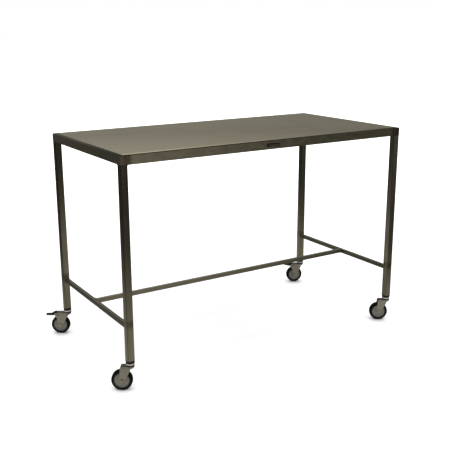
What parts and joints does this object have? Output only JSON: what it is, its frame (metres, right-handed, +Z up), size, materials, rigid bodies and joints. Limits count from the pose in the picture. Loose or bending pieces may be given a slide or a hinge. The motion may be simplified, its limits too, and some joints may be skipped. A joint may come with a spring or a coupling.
{
  "type": "stainless work table",
  "caption": "Stainless steel work table: flat brushed top on a slim welded tube frame, low H-brace between square legs, swivel casters with foot brakes at the rear.",
  "frame": {"origin": "on the floor, under the centre of the table top", "axes": "+X along the length of the table, the front with the blank plate faces -Y, +Z up"},
  "size_m": [1.287, 0.6669, 0.822],
  "materials": {
    "brushed_top": "satin brushed, grain along the length",
    "brushed_frame": "satin brushed, grain along each rail, ground at the corners",
    "brushed_leg": "satin brushed, grain up the leg",
    "brushed_brace": "satin brushed, grain along the tube",
    "plain_steel": "mill finish",
    "plate_dark": "dark etched, blank",
    "zinc_plate": "bright zinc plate",
    "fork_zinc": "zinc plate, pressed",
    "lever_zinc": "zinc plate, pressed",
    "bolt_steel": "plated steel",
    "bearing_steel": "polished",
    "wheel_grey": "moulded, satin",
    "tyre_rubber": "matt rubber",
    "insert_plastic": "moulded, matt",
    "pedal_plastic": "moulded, matt"
  },
  "bodies": {
    "root": {"top_sheet": "brushed_top", "top_stiffener": "plain_steel", "front_rail": "brushed_frame", "rear_rail": "brushed_frame", "left_rail": "brushed_frame", "right_rail": "brushed_frame", "left_brace": "brushed_brace", "right_brace": "brushed_brace", "long_stretcher": "brushed_brace", "blank_plate": "plate_dark", "swivel_balls": "bearing_steel", "leg_front_left": "brushed_leg", "insert_front_left": "insert_plastic", "stem_front_left": "zinc_plate", "upper_race_front_left": "zinc_plate", "leg_rear_left": "brushed_leg", "insert_rear_left": "insert_plastic", "stem_rear_left": "zinc_plate", "upper_race_rear_left": "zinc_plate", "leg_rear_right": "brushed_leg", "insert_rear_right": "insert_plastic", "stem_rear_right": "zinc_plate", "upper_race_rear_right": "zinc_plate", "leg_front_right": "brushed_leg", "insert_front_right": "insert_plastic", "stem_front_right": "zinc_plate", "upper_race_front_right": "zinc_plate"},
    "wheel_front_left": {"wheel_core_front_left": "wheel_grey", "tyre_front_left": "tyre_rubber"},
    "swivel_front_left": {"fork_front_left": "fork_zinc", "axle_sleeve_front_left": "zinc_plate", "axle_bolt_front_left": "bolt_steel", "axle_nut_front_left": "bolt_steel"},
    "wheel_rear_left": {"wheel_core_rear_left": "wheel_grey", "tyre_rear_left": "tyre_rubber"},
    "pedal_rear_left": {"brake_lever_rear_left": "lever_zinc", "pedal_cover_rear_left": "pedal_plastic"},
    "swivel_rear_left": {"fork_rear_left": "fork_zinc", "axle_sleeve_rear_left": "zinc_plate", "axle_bolt_rear_left": "bolt_steel", "axle_nut_rear_left": "bolt_steel", "brake_pivot_rear_left": "bolt_steel"},
    "wheel_rear_right": {"wheel_core_rear_right": "wheel_grey", "tyre_rear_right": "tyre_rubber"},
    "pedal_rear_right": {"brake_lever_rear_right": "lever_zinc", "pedal_cover_rear_right": "pedal_plastic"},
    "swivel_rear_right": {"fork_rear_right": "fork_zinc", "axle_sleeve_rear_right": "zinc_plate", "axle_bolt_rear_right": "bolt_steel", "axle_nut_rear_right": "bolt_steel", "brake_pivot_rear_right": "bolt_steel"},
    "wheel_front_right": {"wheel_core_front_right": "wheel_grey", "tyre_front_right": "tyre_rubber"},
    "swivel_front_right": {"fork_front_right": "fork_zinc", "axle_sleeve_front_right": "zinc_plate", "axle_bolt_front_right": "bolt_steel", "axle_nut_front_right": "bolt_steel"}
  },
  "joints": [
    {"name": "swivel_front_left", "type": "hinge", "parent": "root", "child": "swivel_front_left", "pos_m": [-0.5969, -0.2963, 0.097], "axis": [0, 0, 1], "continuous": true},
    {"name": "spin_front_left", "type": "hinge", "parent": "swivel_front_left", "child": "wheel_front_left", "pos_m": [-0.62164, -0.27986, 0.0375], "axis": [-0.5534, -0.8329, 0], "continuous": true},
    {"name": "swivel_rear_left", "type": "hinge", "parent": "root", "child": "swivel_rear_left", "pos_m": [-0.5969, 0.2963, 0.097], "axis": [0, 0, 1], "continuous": true},
    {"name": "spin_rear_left", "type": "hinge", "parent": "swivel_rear_left", "child": "wheel_rear_left", "pos_m": [-0.6212, 0.31338, 0.0375], "axis": [-0.575, -0.8181, 0], "continuous": true},
    {"name": "pedal_rear_left", "type": "hinge", "parent": "swivel_rear_left", "child": "pedal_rear_left", "pos_m": [-0.62717, 0.31758, 0.081], "axis": [-0.575, -0.8181, 0], "range_deg": [0, 12]},
    {"name": "swivel_rear_right", "type": "hinge", "parent": "root", "child": "swivel_rear_right", "pos_m": [0.5969, 0.2963, 0.097], "axis": [0, 0, 1], "continuous": true},
    {"name": "spin_rear_right", "type": "hinge", "parent": "swivel_rear_right", "child": "wheel_rear_right", "pos_m": [0.56954, 0.30786, 0.0375], "axis": [-0.3891, -0.9212, 0], "continuous": true},
    {"name": "pedal_rear_right", "type": "hinge", "parent": "swivel_rear_right", "child": "pedal_rear_right", "pos_m": [0.56282, 0.3107, 0.081], "axis": [-0.3891, -0.9212, 0], "range_deg": [0, 26]},
    {"name": "swivel_front_right", "type": "hinge", "parent": "root", "child": "swivel_front_right", "pos_m": [0.5969, -0.2963, 0.097], "axis": [0, 0, 1], "continuous": true},
    {"name": "spin_front_right", "type": "hinge", "parent": "swivel_front_right", "child": "wheel_front_right", "pos_m": [0.57225, -0.27974, 0.0375], "axis": [-0.5577, -0.83, 0], "continuous": true}
  ]
}
